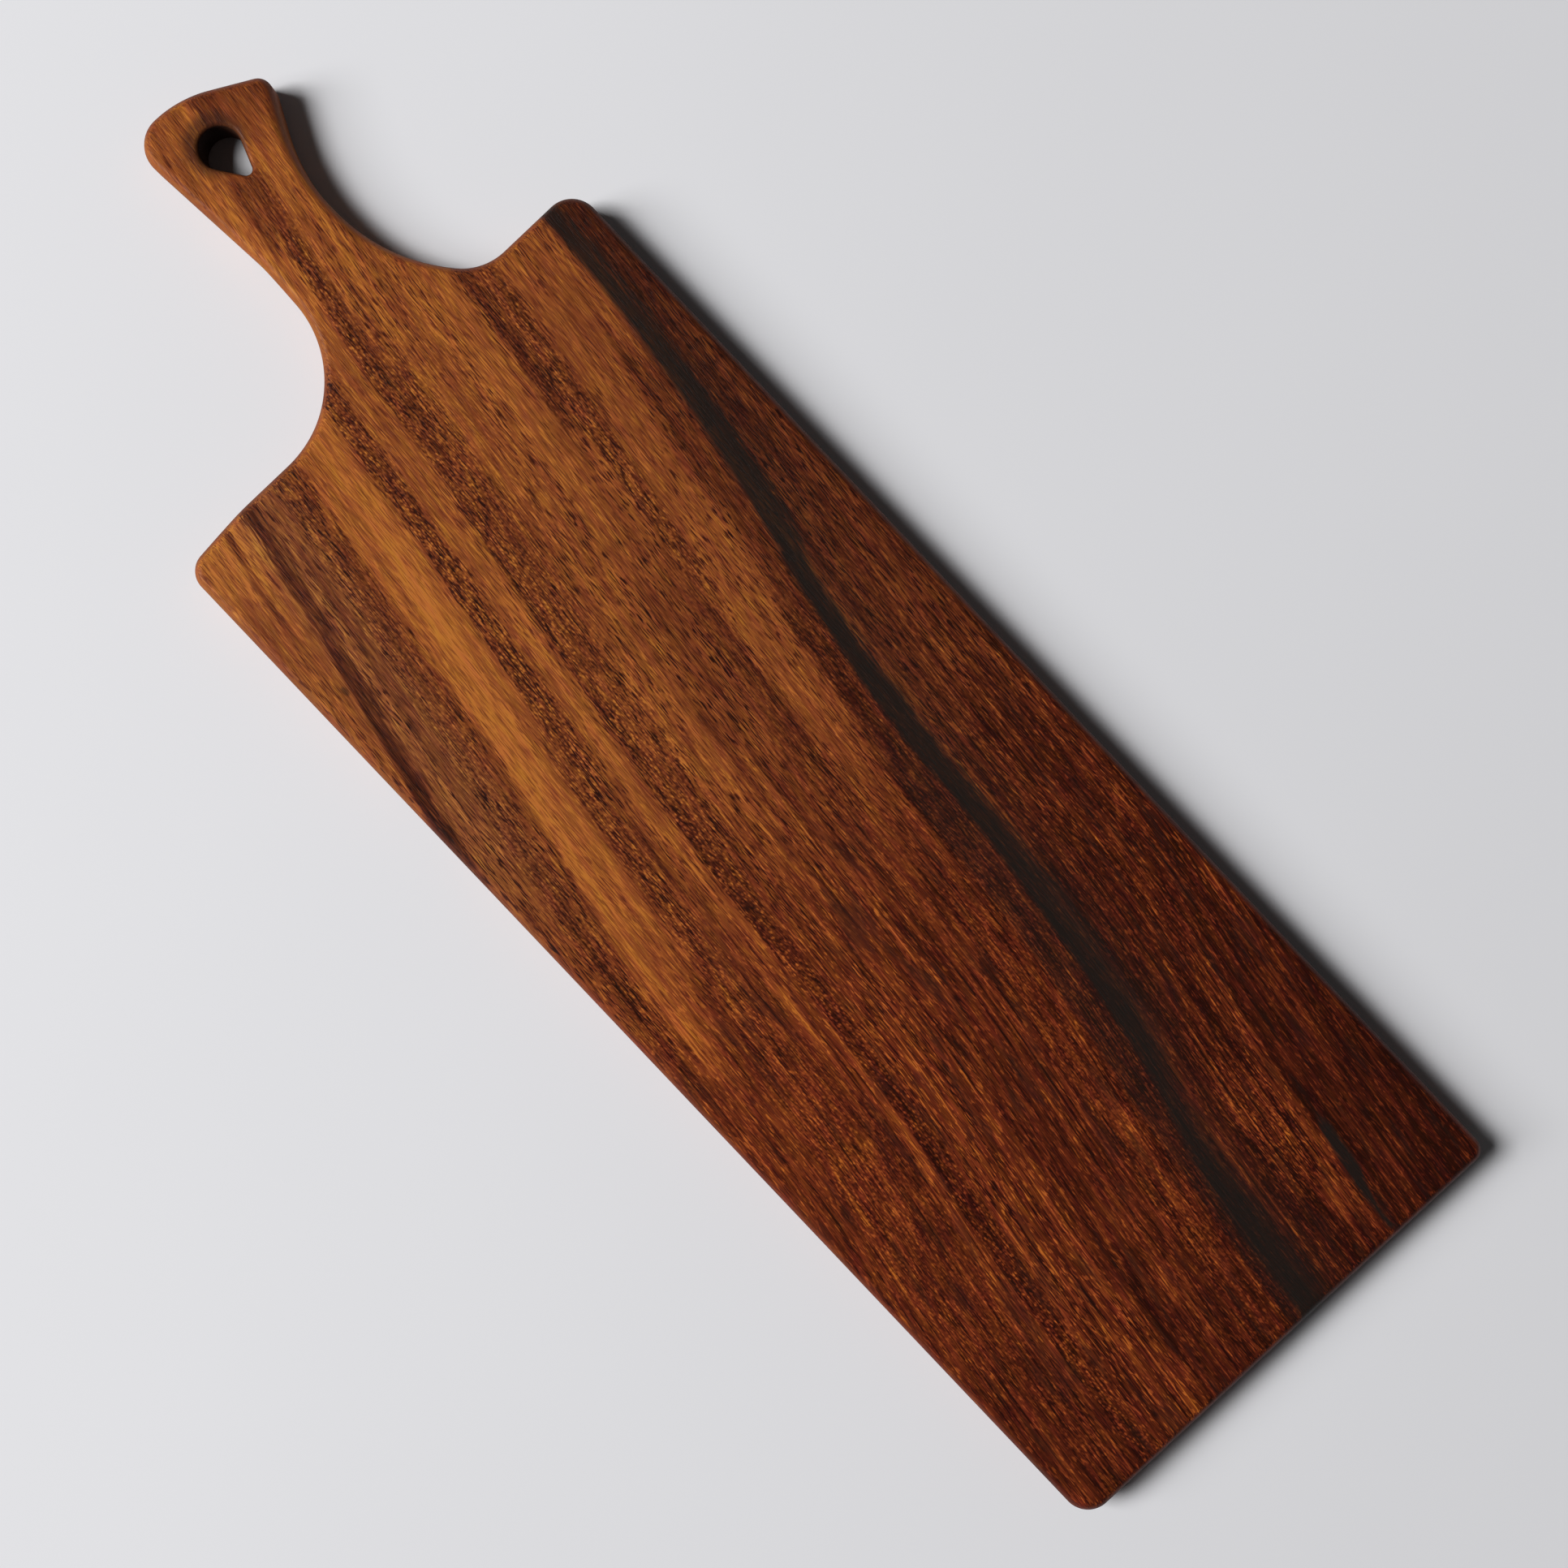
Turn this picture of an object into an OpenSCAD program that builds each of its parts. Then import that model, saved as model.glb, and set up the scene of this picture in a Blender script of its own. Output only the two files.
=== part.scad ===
// Paddle serving board, sawn from one plank: a long body with straight sides, two scooped shoulders,
// a waisted handle that stands left of the middle, a teardrop hang hole and rounded-over edges.
// Frame: the far end lies at +X and the handle at -X, +Y is the left side for a person who holds the
// handle, and the underside rests on z = 0 with the origin under the middle of the board.

/* [Plank] */
// Length of the body, from the far end to the left shoulder
body_length = 487; // [350:1:600]
// Width across the two long sides
board_width = 200; // [170:1:250]
// Thickness of the plank
board_thickness = 19; // [14:0.5:26]
// How far the far end is out of square: its right corner stops this much short of its left one
end_skew = 2.5; // [0:0.5:8]
// Radius of the rounded-over edge, on the top and on the underside
edge_radius = 4; // [2:0.25:5]

/* [Corners of the body] */
// Radius, seen from above, of the far left corner
far_left_radius = 5.5; // [5:0.5:20]
// Radius, seen from above, of the far right corner
far_right_radius = 10; // [5:0.5:20]
// Radius, seen from above, of the left shoulder's corner
left_shoulder_radius = 11; // [5:0.5:20]
// Radius, seen from above, of the right shoulder's corner
right_shoulder_radius = 8.5; // [5:0.5:20]

/* [Left shoulder] */
// How far out from the neck the straight stretch of the left shoulder ends and its scoop begins
left_scoop_rise = 24.5; // [15:0.5:32]
// Distance along the neck from the left shoulder to where the scoop ends
left_scoop_run = 28; // [22:0.5:34]
// Radius of the scoop between the left shoulder and the neck
left_scoop_radius = 23; // [15:0.5:30]

/* [Right shoulder] */
// How far the right shoulder lies nearer to the far end than the left one
right_shoulder_setback = 2.5; // [0.5:0.5:8]
// Run of the right shoulder's outer stretch, which leans back from the long side
right_lean_run = 28; // [20:0.5:40]
// How far that outer stretch leans back at the long side
right_lean = 2.5; // [0.5:0.5:6]
// Radius of the soft bend where the outer stretch starts to lean
right_lean_radius = 120; // [60:5:200]
// Radius of the scoop between the right shoulder and the neck
right_scoop_radius = 43; // [30:0.5:55]

/* [Handle] */
// Length of the handle, from the left shoulder to its tip
handle_length = 123; // [105:1:150]
// Width of the neck where it is narrowest
neck_width = 33.5; // [28:0.5:40]
// How far the middle of the neck lies to the left of the middle of the board
neck_offset = 13.75; // [8:0.25:20]
// Distance from the tip to where the neck's left side turns out to the end of the handle
left_end_run = 49; // [42:0.5:56]
// Radius of the neck's left side
left_waist_radius = 70; // [40:1:90]
// Distance from the tip to the neck's narrowest place on the right side
right_end_run = 66; // [52:0.5:80]
// Radius of the neck's right side
right_waist_radius = 120; // [60:5:200]
// How far the neck's right side drops between its narrowest place and the scoop
right_waist_drop = 2; // [0.5:0.25:4]
// How far the handle's end stands out past the neck on the left
left_flare = 16.5; // [10:0.5:24]
// How far the handle's end stands out past the neck on the right
right_flare = 5; // [2:0.5:10]
// How far the slanted end draws back from the tip at its left corner
end_slant = 16.5; // [8:0.5:24]
// Length of the tip that is square to the board, from the right corner to the slant
tip_run = 25; // [20:0.5:32]
// Radius, seen from above, of the handle's left corner
handle_left_radius = 5.5; // [5:0.5:10]
// Radius of the bend from the tip to the slant
tip_radius = 45; // [20:1:60]
// Radius, seen from above, of the handle's right corner
handle_right_radius = 12; // [6:0.5:16]

/* [Hang hole] */
// Radius of the round part of the teardrop
hole_radius = 8; // [6:0.25:10]
// Distance from the centre of the round part to the point of the teardrop, before the point is rounded
hole_reach = 17; // [14:0.5:20]
// Radius of the rounded point
hole_point_radius = 2.2; // [1:0.1:4]
// Distance from the tip of the handle to the centre of the round part
hole_setback = 24.5; // [20:0.5:32]
// How far the round part lies to the left of the middle of the neck
hole_offset = 2; // [0:0.25:5]
// How far the point of the teardrop turns to the left, in degrees
hole_turn = 7; // [0:1:20]
// Radius of the rounded-over rim, on the top and on the underside
hole_rim_radius = 2; // [1:0.25:3]

/* [Hidden] */

// Greatest gap between a drawn arc and its chords
chord_gap = 0.03;
// Chords in a rounded-over edge, which turns through a right angle
edge_chords = 5;
// How far a cut runs on past the face that it opens
overrun = 1;

half_length = (body_length + handle_length) / 2;
half_width = board_width / 2;
tip_x = -half_length;
left_shoulder_x = half_length - body_length;
right_shoulder_x = left_shoulder_x + right_shoulder_setback;
neck_left = neck_offset + neck_width / 2;
neck_right = neck_offset - neck_width / 2;
handle_left = neck_left + left_flare;
handle_right = neck_right - right_flare;

// Corners of the board's outline, counter-clockwise from the far left: x, y and the radius that rounds each
board_outline = [
    [half_length, half_width, far_left_radius],
    [left_shoulder_x, half_width, left_shoulder_radius],
    [left_shoulder_x, neck_left + left_scoop_rise, left_scoop_radius],
    [left_shoulder_x - left_scoop_run, neck_left, left_waist_radius],
    [tip_x + left_end_run, neck_left, left_waist_radius],
    [tip_x + end_slant, handle_left, handle_left_radius],
    [tip_x, handle_right + tip_run, tip_radius],
    [tip_x, handle_right, handle_right_radius],
    [tip_x + right_end_run, neck_right, right_waist_radius],
    [right_shoulder_x, neck_right - right_waist_drop, right_scoop_radius],
    [right_shoulder_x, right_lean_run - half_width, right_lean_radius],
    [right_shoulder_x + right_lean, -half_width, right_shoulder_radius],
    [half_length - end_skew, -half_width, far_right_radius],
];

// Corners of the hang hole's outline: the point, then the back corners of a triangle whose three sides
// all touch the round part
hole_x = tip_x + hole_setback;
hole_y = neck_offset + hole_offset;
hole_back = (hole_reach + hole_radius) * tan(asin(hole_radius / hole_reach));
hole_outline = [
    hole_corner(hole_reach, 0, hole_point_radius),
    hole_corner(-hole_radius, hole_back, hole_radius),
    hole_corner(-hole_radius, -hole_back, hole_radius),
];

// Corner of the hang hole, given along and across the teardrop from the centre of its round part
function hole_corner(along, across, radius) = [
    hole_x + along * cos(hole_turn) - across * sin(hole_turn),
    hole_y + along * sin(hole_turn) + across * cos(hole_turn),
    radius,
];

// Neighbours of corner i on a closed outline
function after(outline, i) = (i + 1) % len(outline);
function before(outline, i) = (i + len(outline) - 1) % len(outline);

function place(corner) = [corner.x, corner.y];
function side(outline, i) = place(outline[after(outline, i)]) - place(outline[i]);
function heading(outline, i) = side(outline, i) / norm(side(outline, i));

// Angle through which the outline turns at corner i, positive to the left
function turn(outline, i) =
    let (from = heading(outline, before(outline, i)), to = heading(outline, i))
    atan2(cross(from, to), from * to);

// Length of side that the rounding of corner i asks for
function wanted(outline, i) = outline[i][2] * tan(abs(turn(outline, i)) / 2);

// Part of its side that corner i and the next one can have, where their roundings would meet
function room_share(outline, i) =
    norm(side(outline, i)) / (wanted(outline, i) + wanted(outline, after(outline, i)));

// Radius of corner i, limited by the sides that it lies between
function fitted_radius(outline, i) =
    outline[i][2] * min(1, room_share(outline, before(outline, i)), room_share(outline, i));

// Points along the arc that rounds corner i, each with the outward normal there
function arc_samples(outline, i) =
    let (
        bend = turn(outline, i),
        bulge = sign(bend),
        radius = fitted_radius(outline, i),
        from = heading(outline, before(outline, i)),
        start = place(outline[i]) - from * radius * tan(abs(bend) / 2),
        outward = [from.y, -from.x],
        centre = start - bulge * radius * outward,
        chords = max(2, ceil(abs(bend) / (2 * acos(1 - chord_gap / radius)))),
        first = atan2(outward.y, outward.x)
    )
    [
        for (k = [0 : chords])
            let (angle = first + bend * k / chords, normal = [cos(angle), sin(angle)])
            [centre + bulge * radius * normal, normal]
    ];

// All samples of an outline in order, without those that the next one repeats
function samples(outline) =
    let (all = [for (i = [0 : len(outline) - 1]) each arc_samples(outline, i)])
    [for (i = [0 : len(all) - 1]) if (norm(all[after(all, i)][0] - all[i][0]) > chord_gap) all[i]];

// Triangles between a left and a right chain of point numbers, which both run towards -X
function zip(points, left, right, i = 0, j = 0) =
    let (
        left_done = i == len(left) - 1,
        right_done = j == len(right) - 1,
        step_left = right_done || (!left_done && points[left[i + 1]].x >= points[right[j + 1]].x)
    )
    left_done && right_done ? []
    : step_left
        ? concat([[left[i], left[i + 1], right[j]]], zip(points, left, right, i + 1, j))
        : concat([[left[i], right[j + 1], right[j]]], zip(points, left, right, i, j + 1));

// Triangles that close a ring, which starts at its +X end and has its tip at its -X end
function cap(ring) =
    let (
        last = len(ring) - 1,
        leftmost = min([for (p = ring) p.x]),
        tip = [for (i = [0 : last]) if (ring[i].x == leftmost) i][0]
    )
    zip(ring, [for (i = [0 : tip]) i], [for (i = [last : -1 : tip + 1]) i]);

function turned_over(triangles) = [for (t = triangles) [t[2], t[1], t[0]]];

function raised(triangles, by) = [for (t = triangles) [for (i = t) i + by]];

// Solid on an outline whose walls follow a profile of rows, from the bottom up: inset and height
module lofted(outline, profile) {
    rim = samples(outline);
    count = len(rim);
    rings = [for (row = profile) [for (s = rim) s[0] - row[0] * s[1]]];
    top = len(profile) - 1;
    points = [for (k = [0 : top]) for (p = rings[k]) [p.x, p.y, profile[k][1]]];
    walls = [
        for (k = [0 : top - 1])
            for (i = [0 : count - 1])
                let (a = k * count + i, b = k * count + after(rim, i))
                each [[a, a + count, b + count], [a, b + count, b]]
    ];
    bottom_cap = cap(rings[0]);
    top_cap = raised(turned_over(cap(rings[top])), top * count);
    polyhedron(points, concat(bottom_cap, walls, top_cap));
}

// Profile rows of an edge rounded over by a quarter circle, from the underside up to the wall
function eased(radius) = [
    for (k = [0 : edge_chords])
        let (angle = k / edge_chords * 90)
        [radius * (1 - sin(angle)), radius * (1 - cos(angle))]
];

function mirrored(rows) = [for (k = [len(rows) - 1 : -1 : 0]) [rows[k][0], board_thickness - rows[k][1]]];

// The whole plank with its outline sawn and its edges rounded over
module plank() {
    edge = eased(edge_radius);
    lofted(board_outline, concat(edge, mirrored(edge)));
}

// What the hang hole takes away: a teardrop that opens out at the rims
module hang_hole() {
    rim = [for (row = eased(hole_rim_radius)) [-row[0], row[1]]];
    lower = concat([[-hole_rim_radius, -overrun]], rim);
    lofted(hole_outline, concat(lower, mirrored(lower)));
}

module board() {
    color("sienna")
        difference() {
            plank();
            hang_hole();
        }
}

board();
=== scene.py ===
"""Oiled hardwood paddle board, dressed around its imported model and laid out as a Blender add-on."""

import math
from collections import namedtuple

import bmesh
import bpy
import numpy as np
from bpy.props import FloatProperty, FloatVectorProperty, IntProperty, PointerProperty
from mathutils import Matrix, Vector
from mathutils.geometry import delaunay_2d_cdt


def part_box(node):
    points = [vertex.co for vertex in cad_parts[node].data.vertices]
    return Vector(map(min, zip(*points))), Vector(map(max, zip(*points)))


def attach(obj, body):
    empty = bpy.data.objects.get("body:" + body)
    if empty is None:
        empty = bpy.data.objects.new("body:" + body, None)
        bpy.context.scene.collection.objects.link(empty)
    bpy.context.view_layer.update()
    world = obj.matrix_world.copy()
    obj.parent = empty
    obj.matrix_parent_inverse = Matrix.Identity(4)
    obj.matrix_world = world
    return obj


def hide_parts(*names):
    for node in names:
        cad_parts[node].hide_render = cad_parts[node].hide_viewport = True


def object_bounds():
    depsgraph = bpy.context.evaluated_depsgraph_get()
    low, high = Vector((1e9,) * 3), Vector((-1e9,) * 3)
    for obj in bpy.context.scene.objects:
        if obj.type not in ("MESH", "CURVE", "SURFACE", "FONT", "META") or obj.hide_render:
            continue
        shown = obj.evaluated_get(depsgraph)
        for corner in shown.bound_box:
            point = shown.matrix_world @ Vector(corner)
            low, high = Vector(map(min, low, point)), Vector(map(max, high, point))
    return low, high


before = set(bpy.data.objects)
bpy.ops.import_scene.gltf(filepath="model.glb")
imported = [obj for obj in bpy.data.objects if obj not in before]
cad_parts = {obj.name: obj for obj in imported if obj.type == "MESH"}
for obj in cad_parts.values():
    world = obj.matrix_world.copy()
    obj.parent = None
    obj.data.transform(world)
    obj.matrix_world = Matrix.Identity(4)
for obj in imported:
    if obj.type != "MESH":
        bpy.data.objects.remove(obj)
CAD_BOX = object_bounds()

bl_info = {
    "name": "Paddle Serving Board",
    "version": (1, 0, 0),
    "blender": (4, 5, 0),
    "location": "View3D > Sidebar > Board",
    "description": "Makes an oiled hardwood paddle board and the stage that it lies on",
    "category": "Add Mesh",
}

NODE = "board"
BODY = "root"
PIECE = "paddle_board"

# One millimetre, the unit of the wood's tables and of the shader that reads them
MM = 0.001

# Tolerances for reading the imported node: welded points, and walls that stand upright
WELD = 1e-6
UPRIGHT = 0.02
# A side this many times as long as its neighbour is a straight one, and so is one whose ends point the same way
STRAIGHT_RATIO = 3.0
SAME_WAY = 1 - 1e-6
# Share of the spacing that the points inside a face keep from its rims
RIM_CLEARANCE = 0.55

# Hand work on the plank: the seed of its chances and the waves of the edge's radius round the outline
SEED = 11
EDGE_WAVES = (3, 7, 12, 19)
# Waves that make the sanded hollows of a face: how many, their lengths in metres and their latest start in radians
HOLLOW_WAVES = 5
HOLLOW_LENGTHS = (0.06, 0.22)
HOLLOW_START = 6

# What all the colour settings share
COLOUR = {"subtype": "COLOR", "size": 4}


def srgb(red, green, blue):
    """Linear colour with alpha from the 8-bit values that a colour picker shows."""
    def linear(level):
        share = level / 255
        return share / 12.92 if share <= 0.04045 else ((share + 0.055) / 1.055) ** 2.4

    return (linear(red), linear(green), linear(blue), 1.0)


# Settings

class PlankShape(bpy.types.PropertyGroup):
    """How finely the plank is drawn, and how even its hand-sanded surfaces are."""

    edge_steps: IntProperty(
        name="Edge steps", description="Facets in each rounded-over edge", default=10, min=3)
    wall_steps: IntProperty(
        name="Wall steps", description="Rows of faces on the upright wall", default=4, min=1)
    curve_step: FloatProperty(
        name="Curve step", description="Longest facet along the curves of the outline",
        default=0.8 * MM, min=0.1 * MM, unit="LENGTH")
    straight_step: FloatProperty(
        name="Straight step", description="Longest facet along the straight sides",
        default=4 * MM, min=1 * MM, unit="LENGTH")
    face_step: FloatProperty(
        name="Face step", description="Spacing of the points on the two flat faces",
        default=6 * MM, min=2 * MM, unit="LENGTH")
    edge_unevenness: FloatProperty(
        name="Edge unevenness", description="How much the rounded edge varies along the outline",
        default=0.10, min=0.0, max=0.3, subtype="FACTOR")
    hollow: FloatProperty(
        name="Hollow", description="Depth of the shallow hollows that sanding left in the faces",
        default=0.08 * MM, min=0.0, max=0.5 * MM, unit="LENGTH")


class WoodColours(bpy.types.PropertyGroup):
    """Colours of the oiled wood, from its darkest fibres to its lightest."""

    char: FloatVectorProperty(
        name="Black streak", description="Mineral streaks", **COLOUR, default=srgb(31, 26, 23))
    umber: FloatVectorProperty(
        name="Umber", description="Darkest fibres", **COLOUR, default=srgb(40, 17, 11))
    garnet: FloatVectorProperty(
        name="Garnet", description="Dark red wood", **COLOUR, default=srgb(62, 26, 15))
    rust: FloatVectorProperty(
        name="Rust", description="Red-brown wood", **COLOUR, default=srgb(80, 36, 19))
    chestnut: FloatVectorProperty(
        name="Chestnut", description="Mid brown wood", **COLOUR, default=srgb(102, 49, 25))
    amber: FloatVectorProperty(
        name="Amber", description="Orange-brown wood", **COLOUR, default=srgb(122, 62, 30))
    honey: FloatVectorProperty(
        name="Honey", description="Light wood", **COLOUR, default=srgb(139, 76, 36))
    gold: FloatVectorProperty(
        name="Gold", description="Golden wood", **COLOUR, default=srgb(156, 88, 38))
    straw: FloatVectorProperty(
        name="Straw", description="Lightest flecks", **COLOUR, default=srgb(182, 109, 47))


class WoodFigure(bpy.types.PropertyGroup):
    """Strength of the wood's figure and of its finish."""

    lace_contrast: FloatProperty(
        name="Lace contrast", description="How much the lace-like dots stand out", default=0.50, min=0.0)
    fibre_contrast: FloatProperty(
        name="Fibre contrast", description="How much the fine fibres stand out", default=0.95, min=0.0)
    far_fibre_contrast: FloatProperty(
        name="Far fibre contrast", description="How much they stand out at the far end", default=0.43, min=0.0)
    ribbon_contrast: FloatProperty(
        name="Ribbon contrast", description="How much the broad ribbons stand out", default=0.50, min=0.0)
    slant: FloatProperty(
        name="Slant", description="Slope of the fibres and dashes against the streaks", default=0.09)
    lace_slant: FloatProperty(
        name="Lace slant", description="Slope of the lace's dots against the streaks", default=0.20)
    lean: FloatProperty(
        name="Lean", description="How far the figure shifts sideways for each unit of depth", default=0.4)
    roughness: FloatProperty(
        name="Roughness", description="Mean roughness of the oiled surface", default=0.38, subtype="FACTOR")
    pore_depth: FloatProperty(
        name="Pore depth", description="Depth of the open pores", default=0.05 * MM, unit="LENGTH")


class StageSettings(bpy.types.PropertyGroup):
    """The floor, the light and the camera."""

    floor_colour: FloatVectorProperty(
        name="Floor", description="Colour of the floor", **COLOUR, default=srgb(226, 226, 229))
    floor_size: FloatProperty(
        name="Floor size", description="Side of the square floor", default=8.0, unit="LENGTH")
    light_distance: FloatProperty(
        name="Light distance", description="From the softboxes to the board", default=5.0, unit="LENGTH")
    high_power: FloatProperty(
        name="High power", description="Power of the high softbox", default=231.0, unit="POWER")
    high_size: FloatProperty(
        name="High size", description="Side of the high softbox", default=1.8, unit="LENGTH")
    high_way: FloatVectorProperty(
        name="High way", description="Direction from the board to the high softbox", size=3, subtype="XYZ",
        default=(-10.3, -10.3, 19.0))
    low_power: FloatProperty(
        name="Low power", description="Power of the low softbox", default=88.0, unit="POWER")
    low_size: FloatProperty(
        name="Low size", description="Side of the low softbox", default=1.75, unit="LENGTH")
    low_way: FloatVectorProperty(
        name="Low way", description="Direction from the board to the low softbox", size=3, subtype="XYZ",
        default=(-7.6, -11.2, 9.0))
    camera_height: FloatProperty(
        name="Camera height", description="Height of the camera over the board", default=0.9, unit="LENGTH")
    camera_turn: FloatProperty(
        name="Camera turn", description="Turn of the picture against the board", default=math.radians(46.53),
        subtype="ANGLE")
    camera_centre: FloatVectorProperty(
        name="Camera centre", description="Point of the board under the camera", size=2,
        default=(30.2 * MM, 5.35 * MM), unit="LENGTH")
    picture_width: FloatProperty(
        name="Picture width", description="Width that the picture covers at the top of the board",
        default=572.7 * MM, unit="LENGTH")


# Plank

def wall_loops(node):
    """Loops where the node's upright walls meet its lower rounded edge, as (points, edge radius), largest first."""
    solid = bmesh.new()
    solid.from_mesh(node.data)
    bmesh.ops.remove_doubles(solid, verts=solid.verts, dist=WELD)
    solid.normal_update()
    middle = sum(corner.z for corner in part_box(NODE)) / 2
    ways = {}
    for edge in solid.edges:
        level = abs(edge.verts[0].co.z - edge.verts[1].co.z) < WELD
        upright = [abs(face.normal.z) < UPRIGHT for face in edge.link_faces]
        if level and edge.verts[0].co.z < middle and sorted(upright) == [False, True]:
            for here, there in (edge.verts, reversed(edge.verts)):
                ways.setdefault(here, []).append(there)
    loops = []
    while ways:
        run = [next(iter(ways))]
        while True:
            onward = [vert for vert in ways.pop(run[-1]) if vert in ways]
            if not onward:
                break
            run.append(onward[0])
        points = np.array([vert.co.xy for vert in run])
        loops.append((points, run[0].co.z))
    solid.free()
    return sorted(loops, key=lambda loop: -abs(signed_area(loop[0])))


def signed_area(points):
    """Area inside a closed run of points, positive if it runs counter-clockwise."""
    onward = np.roll(points, -1, axis=0)
    return np.sum(points[:, 0] * onward[:, 1] - points[:, 1] * onward[:, 0]) / 2


def smooth_outline(corners, curve_step, straight_step):
    """Points on a smooth closed curve through the corners, with the normals to the right of the way round."""
    sides = np.roll(corners, -1, axis=0) - corners
    lengths = np.linalg.norm(sides, axis=1)
    ahead = sides / lengths[:, None]
    behind = np.roll(ahead, 1, axis=0)
    lengths_behind = np.roll(lengths, 1)
    tangents = ahead * lengths_behind[:, None] + behind * lengths[:, None]
    after_straight = lengths_behind > STRAIGHT_RATIO * lengths
    before_straight = lengths > STRAIGHT_RATIO * lengths_behind
    tangents[after_straight] = behind[after_straight]
    tangents[before_straight] = ahead[before_straight]
    tangents /= np.linalg.norm(tangents, axis=1)[:, None]
    points, normals = [], []
    for i, length in enumerate(lengths):
        start, end = corners[i], corners[(i + 1) % len(corners)]
        leave, arrive = tangents[i] * length, tangents[(i + 1) % len(corners)] * length
        is_straight = np.dot(leave, arrive) > SAME_WAY * length**2
        count = math.ceil(length / (straight_step if is_straight else curve_step))
        for t in np.arange(count) / count:
            points.append(
                (2 * t**3 - 3 * t**2 + 1) * start + (t**3 - 2 * t**2 + t) * leave
                + (3 * t**2 - 2 * t**3) * end + (t**3 - t**2) * arrive)
            way = (6 * t**2 - 6 * t) * (start - end) + (3 * t**2 - 4 * t + 1) * leave + (3 * t**2 - 2 * t) * arrive
            normals.append(np.array((way[1], -way[0])) / np.linalg.norm(way))
    return np.array(points), np.array(normals)


def waves(share, counts, rng):
    """Sum of sine waves that close on themselves as share runs from 0 to 1, between -1 and 1."""
    phases = rng.uniform(0, 2 * math.pi, len(counts))
    return sum(np.sin(2 * math.pi * count * share + phase) for count, phase in zip(counts, phases)) / len(counts)


def edge_profile(edge_steps, wall_steps):
    """Rows of the wall from the underside up, as shares of the edge radius inward and up, and of the wall."""
    quarter = [math.pi / 2 * k / edge_steps for k in range(edge_steps + 1)]
    lower = [(1 - math.sin(angle), 1 - math.cos(angle), 0.0) for angle in quarter]
    wall = [(0.0, 1.0, k / wall_steps) for k in range(1, wall_steps)]
    upper = [(inset, 2 - rise, 1.0) for inset, rise, _ in reversed(lower)]
    return lower + wall + upper


def wall_rings(points, normals, radii, thickness, profile):
    """One ring of points for each row of the profile, round an outline whose edge radius varies."""
    rings = []
    for inset, rise, wall_share in profile:
        heights = radii * rise + (thickness - 2 * radii) * wall_share
        rings.append(np.column_stack((points - normals * (radii * inset)[:, None], heights)))
    return rings


def inside(points, ring):
    """Whether each point lies inside a closed ring."""
    x, y = points[:, :1], points[:, 1:2]
    start, end = ring[None], np.roll(ring, -1, axis=0)[None]
    spans = (start[..., 1] > y) != (end[..., 1] > y)
    rise = np.where(end[..., 1] == start[..., 1], 1.0, end[..., 1] - start[..., 1])
    crossing = start[..., 0] + (y - start[..., 1]) / rise * (end[..., 0] - start[..., 0])
    return np.count_nonzero(spans & (x < crossing), axis=1) % 2 == 1


def face_triangles(outer, hole, spacing):
    """Points inside a face with a hole, and the triangles that join them to the two rings."""
    low, high = outer.min(axis=0), outer.max(axis=0)
    row_gap = spacing * math.sqrt(3) / 2
    grid = []
    for row, y in enumerate(np.arange(low[1], high[1], row_gap)):
        shift = spacing / 2 * (row % 2)
        grid += [(x + shift, y) for x in np.arange(low[0], high[0], spacing)]
    grid = np.array(grid)
    grid = grid[inside(grid, outer) & ~inside(grid, hole)]
    rims = np.vstack((outer, hole))
    from_rims = np.min(np.linalg.norm(grid[:, None] - rims[None], axis=2), axis=1)
    grid = grid[from_rims > spacing * RIM_CLEARANCE]
    points = np.vstack((rims, grid))
    edges = []
    for first, count in ((0, len(outer)), (len(outer), len(hole))):
        edges += [(first + k, first + (k + 1) % count) for k in range(count)]
    # Output kind 0 fills the whole hull, so what lies outside the rings is left out afterwards
    _, _, found, sources, _, _ = delaunay_2d_cdt([Vector(p / MM) for p in points], edges, [], 0, WELD)
    origins = [ids[0] for ids in sources]
    triangles = np.array([[origins[k] for k in triangle] for triangle in found])
    centres = points[triangles].mean(axis=1)
    kept = triangles[inside(centres, outer) & ~inside(centres, hole)]
    return grid, kept


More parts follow.
